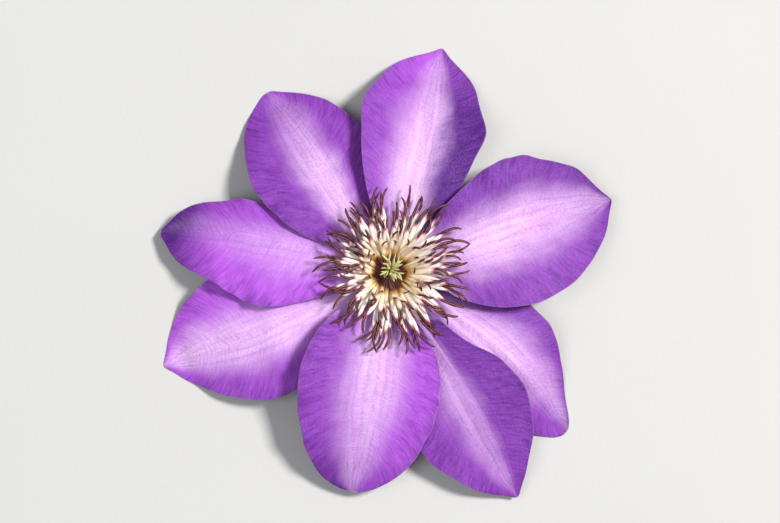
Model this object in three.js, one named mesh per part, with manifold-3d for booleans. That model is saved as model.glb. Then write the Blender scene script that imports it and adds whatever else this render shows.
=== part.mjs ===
// A large clematis flower, picked with a short stalk and laid face up.
//
// Eight broad sepals spring by narrow claws from a small receptacle, arch over like a shallow
// dish turned upside down and come down to the surface at four of their tips. Above the claws
// stands a boss of stamens on a collar, and in its well a tuft of styles on a small dome.
//
// Millimetres, +Z up. The surface is z = 0 and the flower's axis is close to the origin.

import * as THREE from 'three';
import { mergeVertices } from 'three/addons/utils/BufferGeometryUtils.js';
import Module from 'manifold-3d';

const wasm = await Module();
wasm.setup();

const DEGREE = Math.PI / 180;
const GOLDEN_ANGLE = 137.508 * DEGREE;
const GAP = 0.3;
const SMALLEST_DETAIL = 0.004;

// The flower's axis, where the sepals would meet.
const AXIS = new THREE.Vector2(-2, -3);

// Sepals. Each blade is a grid of rows along its length and columns across it.
const SEPAL_THICKNESS = 0.75;
const CLAW_RADIUS = 3.6;
const CLAW_HALF_WIDTH = 1.0;
const CLAW_HEIGHT = 9;
const CREST = 0.38;
const DROOP_POWER = 1.8;
const LAYER_START = 0.15;
const LIFT_POWER = 1.3;
const TIP_START = 0.8;
const SETTLE_BEND = 1;
const CURL_START = 0.35;
const CURL_FULL = 0.6;
const PLEAT_HEIGHT = 0.25;
const PLEAT_PITCH = 0.28;
const PLEAT_SPREAD = 0.2;
const ROWS = [0, 0.05, 0.1, 0.15, 0.22, 0.3, 0.39, 0.48, 0.57, 0.66, 0.75, 0.83, 0.9, 0.955, 0.985, 1];
const HALF_COLUMNS = [0.14, 0.28, 0.46, 0.66, 0.85, 1];

// Half widths left and right of a blade's axis, looking from the claw to the tip, are given at
// these fractions of the way to the tip. The first three stations are the claw.
const STATIONS = [0, 0.05, 0.1, 0.2, 0.35, 0.5, 0.65, 0.8, 0.9, 1];
const CLAW_WIDENING = [0.2, 0.4];

// direction: of the tip, and claw: of the claw, in degrees from +X.
// bow: sideways bend of the midrib. rise: crest above the claw. tip: height of the tip.
// level, liftLeft, liftRight: how far the blade and its two margins lie above a common dish,
// which is what stacks the sepals over and under each other.
// wave: size, number and phase of the waves along the margins.
// curl: how far the left and the right margin turn up again beyond the neighbouring sepals.
const SEPALS = [
  {
    direction: 75.4, claw: 66, length: 82.5, bow: -1.5, rise: 3.2, tip: -3.5,
    left: [12.5, 18, 21.7, 23, 18, 13.6, 5], right: [11, 15.5, 18.2, 20.7, 16.2, 13.2, 5],
    level: 0.3, liftLeft: 3.2, liftRight: -1.2, wave: [0.5, 3, 0.4], curl: [0, 2.6],
  },
  {
    direction: 19.9, claw: 12, length: 84, bow: 1.2, rise: 3.2, tip: 4.5,
    left: [12, 18, 22.6, 23.2, 17.6, 14, 6], right: [16, 23.6, 26, 24.4, 18.8, 14, 8],
    level: 1, liftLeft: 1.4, liftRight: 1.4, wave: [0.6, 3.5, 2.2], curl: [0, 0],
  },
  {
    direction: -39.1, claw: -26, length: 81.6, bow: 4.5, rise: 3, tip: -2.5,
    left: [11, 19, 23.5, 22.8, 16, 10.5, 7], right: [7, 13, 16, 16, 12.5, 9, 8],
    level: -1.9, liftLeft: -1.2, liftRight: -0.6, wave: [0.5, 3, 1.2], curl: [0, 0],
  },
  {
    direction: -58.3, claw: -63, length: 86.6, bow: 0.8, rise: 3, tip: 2.5,
    left: [5.5, 9.8, 17.6, 19.4, 15.6, 9.8, 5], right: [11, 16, 20.5, 21.6, 16.2, 12, 5],
    level: -0.2, liftLeft: 1.8, liftRight: -1.6, wave: [0.5, 3.5, 0], curl: [0, 0],
  },
  {
    direction: -98.3, claw: -102, length: 73.2, bow: 0.7, rise: 3.2, tip: 4,
    left: [13.5, 20.4, 22.5, 22, 18.4, 15.6, 13], right: [16.5, 23, 25, 23.8, 19.8, 17.6, 16],
    level: 1.3, liftLeft: 1.6, liftRight: 2.6, wave: [0.5, 3, 3], curl: [0, 0],
  },
  {
    direction: -156.4, claw: -144, length: 79.4, bow: 3, rise: 3, tip: -2.5,
    left: [11, 18, 24, 23.7, 17.5, 11.3, 6], right: [10, 15, 19, 21, 17.3, 13, 7],
    level: -1.2, liftLeft: -1.2, liftRight: -1, wave: [0.5, 3, 5], curl: [0, 0],
  },
  {
    direction: 170.9, claw: 170, length: 76, bow: -2.8, rise: 3, tip: 2.5,
    left: [11, 16.3, 19.5, 16.8, 12.2, 10.2, 7], right: [9.5, 12.3, 14, 15.2, 13, 11.2, 8.4],
    level: 0, liftLeft: 1.2, liftRight: -1.2, wave: [0.7, 4, 2], curl: [0, 0],
  },
  {
    direction: 122.6, claw: 120, length: 73.3, bow: 1.2, rise: 3, tip: -2.5,
    left: [13, 20.2, 23.2, 23.3, 18.7, 15.2, 12], right: [10, 14.5, 17.5, 19, 15.8, 11.8, 7],
    level: 0, liftLeft: 1.2, liftRight: -1.3, wave: [0.5, 3, 1], curl: [0, 0],
  },
];

// Receptacle and stalk.
const RECEPTACLE_RADIUS = 5;
const BOSS_RADIUS = 3.1;
const LEDGE_HEIGHT = CLAW_HEIGHT - SEPAL_THICKNESS / 2 - GAP;
const SEAT_HEIGHT = CLAW_HEIGHT + SEPAL_THICKNESS / 2 + GAP;
const STALK_RADIUS = 1.3;
const STALK_SIDES = 10;
const STALK_STEPS = 14;
const STALK_DIRECTION = -128 * DEGREE;
// Distance from the axis and height of points along the stalk's centre line.
const STALK_LINE = [[0, 7.4], [0.2, 5.7], [1.7, 3.1], [4.8, 1.7], [9, 1.3], [17, 1.3], [27, 1.3]];

// Stamens, innermost first. Each is a flat filament that widens outwards and an anther. The
// inner ones stand up and bend over the well, the outer ones lie flat. They reach furthest on the
// side that the whole boss leans to, and the boss is an oval that is longer along Y.
// A lower crowding puts more of them among the outer ones.
const STAMEN_COUNT = 86;
const CROWDING = 0.48;
const LEAN_DIRECTION = -10 * DEGREE;
const LEAN = 0.067;
const OVAL = 0.063;
// Each pair holds for the innermost and for the outermost stamens. Heights are above the claws.
const ROOT_DISTANCE = [2.6, 3.8];
const ROOT_HEIGHT = [3.3, 1.8];
const NECK_DISTANCE = [7.2, 19];
const NECK_HEIGHT_RANGE = [9.2, 7.3];
const ANTHER_LENGTH = [3, 8.2];
const ANTHER_ARCH = [0, 0.2];
// Share of an anther's length that points outwards, from inner ones bent inwards to flat ones.
const ANTHER_OUTWARD = [-0.3, 1];
// How much the stamens differ, as a whole range round the middle value.
const TURN_SPREAD = 0.12;
const BEND_SPREAD = 0.3;
const REACH_SPREAD = 0.16;
const HEIGHT_SPREAD = 1.2;
const LENGTH_SPREAD = 0.3;
const HOOK_SPREAD = 0.9;
// Stations along a filament and along its anther, and the width and thickness at each.
const FILAMENT_STATIONS = [0, 0.35, 0.7, 0.96];
const ANTHER_STATIONS = [0.08, 0.4, 0.75, 1];
const STAMEN_WIDTHS = [0.9, 1.3, 2.1, 1.4, 0.7, 1.1, 0.9];
const STAMEN_THICKNESSES = [0.7, 0.7, 0.7, 0.7, 0.7, 0.8, 0.7];
const COLLAR_INNER_RADIUS = 1.9;
const COLLAR_RADIUS = 4.4;
const COLLAR_HEIGHT = 3.2;

// Styles, on a dome inside the collar.
const STYLE_COUNT = 20;
const DOME_RADIUS = 1.6;
const DOME_HEIGHT = 2.6;
const STYLE_WIDTHS = [0.6, 0.6, 0.54];
const STYLE_HEIGHT = 7.2;
const STYLE_STATIONS = [0, 0.45, 0.8, 1];
// Each pair holds for the innermost and for the outermost styles.
const STYLE_ROOT_DISTANCE = [0, 0.9];
const STYLE_ROOT_DEPTH = [0.9, 1.7];
const STYLE_CURL = [1, 4.2];
const STYLE_CURL_SPREAD = 0.6;
const STYLE_TURN_SPREAD = 1.8;
const STYLE_HEIGHT_SPREAD = 0.25;

// Repeatable draw between 0 and 1 for item `index`, one stream for each `salt`.
function draw(index, salt) {
  const value = Math.sin(index * 12.9898 + salt * 78.233) * 43758.5453;
  return value - Math.floor(value);
}

// Draw of the same kind, spread evenly round zero over a whole range of `range`.
function vary(range, index, salt) {
  return range * (draw(index, salt) - 0.5);
}

function blend([inner, outer], rank) {
  return inner + (outer - inner) * rank;
}

function smoothstep(low, high, x) {
  const t = Math.min(Math.max((x - low) / (high - low), 0), 1);
  return t * t * (3 - 2 * t);
}

// Smooth curve through the points (xs, ys), read at x.
function interpolate(xs, ys, x) {
  const last = xs.length - 1;
  let i = 0;
  while (i < last - 1 && x > xs[i + 1]) i += 1;
  const slope = (k) => {
    const before = Math.max(k - 1, 0);
    const after = Math.min(k + 1, last);
    return (ys[after] - ys[before]) / (xs[after] - xs[before]);
  };
  const span = xs[i + 1] - xs[i];
  const t = (x - xs[i]) / span;
  const rise = ys[i + 1] - ys[i];
  const start = slope(i) * span;
  const end = slope(i + 1) * span;
  return ys[i] + t * (start + t * (3 * rise - 2 * start - end + t * (start + end - 2 * rise)));
}

// Height that a blade's underside takes where it comes down to the surface and bends onto it.
function settle(height) {
  if (height >= SETTLE_BEND) return height;
  if (height <= -SETTLE_BEND) return 0;
  return (height + SETTLE_BEND) ** 2 / (4 * SETTLE_BEND);
}

// Half width of one side of a blade at fraction q of its length.
function halfWidth(widths, q) {
  const claw = CLAW_WIDENING.map((part) => part * widths[0]);
  const width = interpolate(STATIONS, [CLAW_HALF_WIDTH, ...claw, ...widths], q);
  const round = Math.max(q - TIP_START, 0) / (1 - TIP_START);
  return width * Math.sqrt(Math.max(1 - round * round, 0));
}

// Point on the middle surface of a blade: q runs from claw to tip, v from right (-1) to left (1).
function sepalPoint(sepal, q, v) {
  const along = CLAW_RADIUS + q * (sepal.length - CLAW_RADIUS);
  const clawTurn = Math.tan((sepal.claw - sepal.direction) * DEGREE);
  const shift = along * clawTurn * Math.max(1 - q / CREST, 0) ** 2;
  const midrib = shift + sepal.bow * Math.sin(Math.PI * q);
  const margin = v > 0 ? shift + halfWidth(sepal.left, q) : shift - halfWidth(sepal.right, q);
  const across = midrib + Math.abs(v) * (margin - midrib);

  const crestHeight = CLAW_HEIGHT + sepal.rise;
  const towardCrest = Math.min(q / CREST, 1);
  const pastCrest = Math.max(q - CREST, 0) / (1 - CREST);
  const arch = sepal.rise * (1 - (1 - towardCrest) ** 2)
    - (crestHeight - sepal.tip) * pastCrest ** DROOP_POWER;

  const [waveSize, waveCount, wavePhase] = sepal.wave;
  const sidePhase = v > 0 ? wavePhase : wavePhase + 2;
  const wave = waveSize * Math.abs(v) ** 3 * Math.sin(2 * Math.PI * waveCount * q + sidePhase);
  const lift = (v > 0 ? sepal.liftLeft : sepal.liftRight) * Math.abs(v) ** LIFT_POWER;
  const curl = (v > 0 ? sepal.curl[0] : sepal.curl[1]) * Math.abs(v) ** 2
    * smoothstep(CURL_START, CURL_FULL, q);
  const pleat = PLEAT_HEIGHT * Math.cos(2 * Math.PI * v / PLEAT_PITCH)
    * Math.exp(-((v / PLEAT_SPREAD) ** 2));
  const layered = smoothstep(0, LAYER_START, q) * (1 - q ** 3);
  const waved = smoothstep(0.2, 0.5, q);
  const height = CLAW_HEIGHT + arch + layered * (sepal.level + lift + curl + pleat) + waved * wave;

  const angle = sepal.direction * DEGREE;
  return new THREE.Vector3(
    AXIS.x + along * Math.cos(angle) - across * Math.sin(angle),
    AXIS.y + along * Math.sin(angle) + across * Math.cos(angle),
    settle(height - SEPAL_THICKNESS / 2) + SEPAL_THICKNESS / 2,
  );
}

function geometryOf(positions, triangles) {
  const geometry = new THREE.BufferGeometry();
  geometry.setAttribute('position', new THREE.Float32BufferAttribute(positions, 3));
  geometry.setIndex(triangles);
  geometry.computeVertexNormals();
  return geometry;
}

// Closed blade: a top and a bottom grid, split alike, and a wall round the margin.
function sepalGeometry(sepal) {
  const columns = [...HALF_COLUMNS.map((v) => -v).reverse(), 0, ...HALF_COLUMNS];
  const width = columns.length;
  const positions = [];
  const triangles = [];
  for (const side of [1, -1]) {
    for (const q of ROWS) {
      for (const v of columns) {
        // The last row is the tip, a single point.
        const point = sepalPoint(sepal, q, q === 1 ? 0 : v);
        positions.push(point.x, point.y, point.z + side * SEPAL_THICKNESS / 2);
      }
    }
  }
  const under = ROWS.length * width;
  const at = (row, column) => row * width + column;
  for (let row = 0; row < ROWS.length - 1; row += 1) {
    for (let column = 0; column < width - 1; column += 1) {
      const a = at(row, column);
      const b = at(row + 1, column);
      const c = at(row + 1, column + 1);
      const d = at(row, column + 1);
      triangles.push(a, b, c, a, c, d);
      triangles.push(under + a, under + c, under + b, under + a, under + d, under + c);
    }
    for (const [column, turned] of [[0, false], [width - 1, true]]) {
      const a = at(row, column);
      const b = at(row + 1, column);
      const wall = [a, under + a, under + b, a, under + b, b];
      triangles.push(...(turned ? wall.reverse() : wall));
    }
  }
  for (let column = 0; column < width - 1; column += 1) {
    const a = at(0, column);
    const d = at(0, column + 1);
    triangles.push(a, under + d, under + a, a, d, under + d);
  }
  return withoutSlivers(geometryOf(positions, triangles));
}

// Merges equal vertices and drops the triangles that this leaves with no area.
function withoutSlivers(geometry) {
  geometry.deleteAttribute('normal');
  geometry.deleteAttribute('uv');
  const merged = mergeVertices(geometry, 1e-4);
  const index = merged.getIndex().array;
  const kept = [];
  for (let i = 0; i < index.length; i += 3) {
    const [a, b, c] = index.slice(i, i + 3);
    if (a !== b && b !== c && c !== a) kept.push(a, b, c);
  }
  merged.setIndex(kept);
  merged.computeVertexNormals();
  return merged;
}

function toSolid(geometry) {
  const merged = withoutSlivers(geometry);
  return new wasm.Manifold(new wasm.Mesh({
    numProp: 3,
    vertProperties: new Float32Array(merged.getAttribute('position').array),
    triVerts: new Uint32Array(merged.getIndex().array),
  }));
}

// Geometry of the one body that a union makes, without the specks that rounding leaves in it.
function fromSolid(solid) {
  const bodies = solid.simplify(SMALLEST_DETAIL).decompose();
  const body = bodies.reduce((best, other) => (other.volume() > best.volume() ? other : best));
  const mesh = body.getMesh();
  return geometryOf(Array.from(mesh.vertProperties), Array.from(mesh.triVerts));
}

// Rod with a four-cornered section along `points`, ending in a point.
// widths and thicknesses hold the section at each point but the last.
function rodGeometry(points, widths, thicknesses, sideways) {
  const positions = [];
  const triangles = [];
  const rings = points.length - 1;
  for (let i = 0; i < rings; i += 1) {
    const before = points[Math.max(i - 1, 0)];
    const tangent = points[i + 1].clone().sub(before).normalize();
    const across = sideways.clone().addScaledVector(tangent, -sideways.dot(tangent)).normalize();
    const up = new THREE.Vector3().crossVectors(across, tangent);
    const corners = [
      across.clone().multiplyScalar(widths[i] / 2),
      up.clone().multiplyScalar(thicknesses[i] / 2),
      across.clone().multiplyScalar(-widths[i] / 2),
      up.clone().multiplyScalar(-thicknesses[i] / 2),
    ];
    for (const corner of corners) positions.push(...corner.add(points[i]).toArray());
  }
  positions.push(...points[rings].toArray());
  const tip = 4 * rings;
  for (let i = 0; i < rings; i += 1) {
    for (let k = 0; k < 4; k += 1) {
      const a = 4 * i + k;
      const b = 4 * i + ((k + 1) % 4);
      if (i < rings - 1) triangles.push(a, a + 4, b + 4, a, b + 4, b);
      else triangles.push(a, tip, b);
    }
  }
  triangles.push(0, 1, 2, 0, 2, 3);
  return geometryOf(positions, triangles);
}

// Point at a distance from the axis, a height and an angle round the axis.
function around(distance, height, angle) {
  return new THREE.Vector3(
    AXIS.x + distance * Math.cos(angle),
    AXIS.y + distance * Math.sin(angle),
    height,
  );
}

// Level direction square to the one that points away from the axis.
function sidewaysAt(angle) {
  return new THREE.Vector3(-Math.sin(angle), Math.cos(angle), 0);
}

// Centre line of a stamen: points along its filament, then points along its anther.
function stamenLine(index) {
  const rank = ((index + 0.5) / STAMEN_COUNT) ** CROWDING;
  const turn = index * GOLDEN_ANGLE + vary(TURN_SPREAD, index, 1);
  const bend = vary(BEND_SPREAD, index, 4);
  const outline = 1 + LEAN * Math.cos(turn - LEAN_DIRECTION) - OVAL * Math.cos(2 * turn);
  const reach = (1 + vary(REACH_SPREAD, index, 2)) * outline;
  const rootDistance = blend(ROOT_DISTANCE, rank);
  const rootHeight = CLAW_HEIGHT + blend(ROOT_HEIGHT, rank);
  const neckDistance = blend(NECK_DISTANCE, rank) * reach;
  const neckHeight = CLAW_HEIGHT + blend(NECK_HEIGHT_RANGE, rank) + vary(HEIGHT_SPREAD, index, 3);
  const antherLength = blend(ANTHER_LENGTH, rank ** 2) * (1 + vary(LENGTH_SPREAD, index, 5));
  const hook = vary(HOOK_SPREAD, index, 6) * antherLength / neckDistance;
  const outward = blend(ANTHER_OUTWARD, smoothstep(0, 0.5, rank));
  const upward = 0.9 * Math.sqrt(1 - outward * outward);

  // Inner filaments run outwards and then turn up, outer ones rise and then lean out.
  const filament = FILAMENT_STATIONS.map((t) => around(
    rootDistance + (neckDistance - rootDistance) * blend([1 - (1 - t) ** 1.6, t ** 1.25], rank),
    rootHeight + (neckHeight - rootHeight) * blend([t ** 1.4, 1 - (1 - t) ** 1.6], rank),
    turn + bend * t * t,
  ));
  const antherHeight = filament[filament.length - 1].z;
  const anther = ANTHER_STATIONS.map((t) => around(
    neckDistance + antherLength * outward * t,
    antherHeight + antherLength * (upward * t + blend(ANTHER_ARCH, rank) * Math.sin(Math.PI * t)),
    turn + bend + hook * t * t,
  ));
  return { points: [...filament, ...anther], turn };
}

function stamenGeometry(index) {
  const { points, turn } = stamenLine(index);
  return rodGeometry(points, STAMEN_WIDTHS, STAMEN_THICKNESSES, sidewaysAt(turn));
}

function latheGeometry(profile, segments) {
  const outline = profile.map(([radius, height]) => new THREE.Vector2(radius, height));
  const geometry = new THREE.LatheGeometry(outline, segments);
  geometry.rotateX(Math.PI / 2);
  geometry.translate(AXIS.x, AXIS.y, 0);
  return geometry;
}

function stamensGeometry() {
  const seat = SEAT_HEIGHT;
  const collar = latheGeometry([
    [COLLAR_INNER_RADIUS, seat],
    [BOSS_RADIUS - 0.2, seat],
    [COLLAR_RADIUS, seat + 1],
    [COLLAR_RADIUS - 0.3, seat + 1.9],
    [COLLAR_INNER_RADIUS + 0.3, seat + COLLAR_HEIGHT],
    [COLLAR_INNER_RADIUS, seat + COLLAR_HEIGHT - 0.4],
    [COLLAR_INNER_RADIUS, seat],
  ], 20);
  let solid = toSolid(collar);
  for (let index = 0; index < STAMEN_COUNT; index += 1) {
    solid = solid.add(toSolid(stamenGeometry(index)));
  }
  return fromSolid(solid);
}

function styleGeometry(index) {
  const rank = Math.sqrt((index + 0.5) / STYLE_COUNT);
  const turn = index * GOLDEN_ANGLE;
  const domeTop = SEAT_HEIGHT + DOME_HEIGHT;
  const top = domeTop + STYLE_HEIGHT * (1 - STYLE_HEIGHT_SPREAD * rank * draw(index, 7));
  const root = domeTop - blend(STYLE_ROOT_DEPTH, rank);
  const curl = blend(STYLE_CURL, rank) * (1 + vary(STYLE_CURL_SPREAD, index, 9));
  const points = STYLE_STATIONS.map((t) => around(
    blend(STYLE_ROOT_DISTANCE, rank) + curl * t ** 3,
    root + (top - root) * (t - 0.1 * rank * t ** 4),
    turn + vary(STYLE_TURN_SPREAD, index, 8) * t ** 2,
  ));
  return rodGeometry(points, STYLE_WIDTHS, STYLE_WIDTHS, sidewaysAt(turn));
}

function pistilsGeometry() {
  const dome = latheGeometry([
    [0, SEAT_HEIGHT],
    [DOME_RADIUS, SEAT_HEIGHT],
    [DOME_RADIUS, SEAT_HEIGHT + DOME_HEIGHT * 0.4],
    [DOME_RADIUS * 0.75, SEAT_HEIGHT + DOME_HEIGHT * 0.8],
    [0, SEAT_HEIGHT + DOME_HEIGHT],
  ], 14);
  let solid = toSolid(dome);
  for (let index = 0; index < STYLE_COUNT; index += 1) {
    solid = solid.add(toSolid(styleGeometry(index)));
  }
  return fromSolid(solid);
}

function stalkGeometry() {
  const receptacle = latheGeometry([
    [0, 5],
    [STALK_RADIUS, 5.6],
    [STALK_RADIUS + 0.5, 6.8],
    [RECEPTACLE_RADIUS - 0.6, LEDGE_HEIGHT - 0.7],
    [RECEPTACLE_RADIUS, LEDGE_HEIGHT],
    [BOSS_RADIUS, LEDGE_HEIGHT],
    [BOSS_RADIUS, SEAT_HEIGHT],
    [0, SEAT_HEIGHT],
  ], 20);
  const line = STALK_LINE.map(([distance, height]) => around(distance, height, STALK_DIRECTION));
  const section = new THREE.Shape();
  for (let i = 0; i < STALK_SIDES; i += 1) {
    const angle = 2 * Math.PI * (i + 0.5) / STALK_SIDES;
    const x = STALK_RADIUS * Math.cos(angle);
    const y = STALK_RADIUS * Math.sin(angle);
    if (i === 0) section.moveTo(x, y);
    else section.lineTo(x, y);
  }
  const stem = new THREE.ExtrudeGeometry(section, {
    steps: STALK_STEPS,
    extrudePath: new THREE.CatmullRomCurve3(line),
  });
  const places = stem.getAttribute('position');
  for (let i = 0; i < places.count; i += 1) places.setZ(i, Math.max(places.getZ(i), 0));
  return fromSolid(toSolid(receptacle).add(toSolid(stem)));
}

function namedMesh(name, geometry, material) {
  const mesh = new THREE.Mesh(geometry, material);
  mesh.name = name;
  return mesh;
}

const sepalMaterial = () => new THREE.MeshStandardMaterial({
  color: 0x9a62c8, roughness: 0.55, metalness: 0, side: THREE.DoubleSide,
});
const stamenMaterial = new THREE.MeshStandardMaterial({ color: 0xf0e0c8, roughness: 0.6, metalness: 0 });
const pistilMaterial = new THREE.MeshStandardMaterial({ color: 0xb9bf7c, roughness: 0.6, metalness: 0 });
const stalkMaterial = new THREE.MeshStandardMaterial({ color: 0x6b7a3c, roughness: 0.65, metalness: 0 });

const flower = new THREE.Group();
flower.name = 'clematis_flower';
flower.add(namedMesh('stalk', stalkGeometry(), stalkMaterial));
SEPALS.forEach((sepal, index) => {
  flower.add(namedMesh(`sepal_${index + 1}`, sepalGeometry(sepal), sepalMaterial()));
});
flower.add(namedMesh('stamens', stamensGeometry(), stamenMaterial));
flower.add(namedMesh('pistils', pistilsGeometry(), pistilMaterial));

export default flower;
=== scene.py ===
"""Looks of a picked clematis flower that lies face up: sepals, stamens, styles and stalk.

The forms follow the same rules as the faceted solids that they replace, with finer grids, thinner
blades and fine relief. Shape rules are in millimetres and meshes are written in metres.
"""

import math
from types import SimpleNamespace

import bpy
import numpy as np
from mathutils import Matrix, Vector


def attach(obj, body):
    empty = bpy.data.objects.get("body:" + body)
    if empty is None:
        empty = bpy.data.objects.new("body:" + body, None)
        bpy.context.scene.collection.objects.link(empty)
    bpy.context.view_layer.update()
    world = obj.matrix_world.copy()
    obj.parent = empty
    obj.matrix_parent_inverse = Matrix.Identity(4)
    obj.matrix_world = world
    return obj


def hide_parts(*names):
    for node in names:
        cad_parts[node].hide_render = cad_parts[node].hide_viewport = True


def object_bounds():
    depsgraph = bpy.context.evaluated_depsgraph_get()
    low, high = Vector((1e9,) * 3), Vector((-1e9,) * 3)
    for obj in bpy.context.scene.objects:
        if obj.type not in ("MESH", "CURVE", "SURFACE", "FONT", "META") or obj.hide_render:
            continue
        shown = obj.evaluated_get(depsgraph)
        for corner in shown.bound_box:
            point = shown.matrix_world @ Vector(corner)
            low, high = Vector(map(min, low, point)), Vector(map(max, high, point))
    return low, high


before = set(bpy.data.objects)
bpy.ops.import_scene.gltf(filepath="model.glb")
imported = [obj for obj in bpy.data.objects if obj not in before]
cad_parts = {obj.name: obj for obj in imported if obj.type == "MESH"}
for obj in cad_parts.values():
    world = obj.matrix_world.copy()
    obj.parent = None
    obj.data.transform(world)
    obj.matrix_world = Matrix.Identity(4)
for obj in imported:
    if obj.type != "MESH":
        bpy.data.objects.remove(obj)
size_at_load = [list(corner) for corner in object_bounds()]

MM = 0.001
LOWEST, HIGHEST = np.array(size_at_load) / MM
GOLDEN_ANGLE = math.radians(137.508)
# Gap between the solids, and the thickness that a blade has there.
GAP = 0.3
SOLID_THICKNESS = 0.75
# Radius at which a turned form is closed.
CLOSED = 0.001

# The flower's axis, and the claws: how far from it they start, their half width and their height.
AXIS = np.array([-2.0, -3.0])
CLAW_RADIUS = 3.6
CLAW_HALF_WIDTH = 1.0
CLAW_HEIGHT = 9.0
# Shape rules of the blades, with places as shares of the length or of the half width. The midline
# rises to its crest and then droops, and a few pleats run along it.
CREST = 0.38
DROOP_POWER = 1.8
LAYER_START = 0.15
LIFT_POWER = 1.3
TIP_START = 0.8
CURL_START = 0.35
CURL_FULL = 0.6
PLEAT_HEIGHT = 0.25
PLEAT_PITCH = 0.28
PLEAT_SPREAD = 0.2
# Height within which an underside bends onto the surface that the flower lies on.
SETTLE_BEND = 1.0
# Phase between the waves of the right and the left margin.
MARGIN_PHASE = 2
# Places along a blade at which its half widths are given. At the first the claw has its own, and at
# the next two it has these shares of the half width at the fourth.
STATIONS = [0, 0.05, 0.1, 0.2, 0.35, 0.5, 0.65, 0.8, 0.9, 1]
CLAW_WIDENING = [0.2, 0.4]

# Thickness of a real blade at its middle and at its margin, where across the blade it starts to
# thin, and the grid that draws it. The last rows belong to the rounded tip.
BLADE_THICKNESS = 0.42
MARGIN_THICKNESS = 0.12
MARGIN_START = 0.55
ROWS = 150
TIP_ROWS = 34
COLUMNS = 89

# Fine relief and outline that only the looks have: wavelengths and sizes, the usual peak of a sum
# of waves, and where a tip draws out.
CRINKLE_LENGTH = 8.0
PUCKER_LENGTH = 13.0
PUCKER_HEIGHT = 0.25
UNEVEN_LENGTH = 0.14
UNEVEN_SHARE = 0.014
RIPPLE_PEAK = 1.4
DRAWN_OUT_START = 0.93
# Seeds of its waves, to which the index of the sepal is added.
CRINKLE_SEED = 100
PUCKER_SEED = 200
LEFT_SEED = 300
RIGHT_SEED = 400
# The margin on the left reads the crinkles this far away from those of the right one.
MARGINS_APART = 40.0

# The pale bar changes its width and place over this stretch, and fades a little in the tip itself.
BAR_START = 0.3
BAR_END = 0.95
BAR_FADE_START = 0.92
BAR_FADE = 0.4
# The shade darkens towards both margins by this share.
MARGIN_SHADE = 0.35
# How far the side veins sweep forward, and how far apart the numbers of two sepals' veins are.
VEIN_SWEEP = 8
VEIN_NUMBERS = 100

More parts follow.
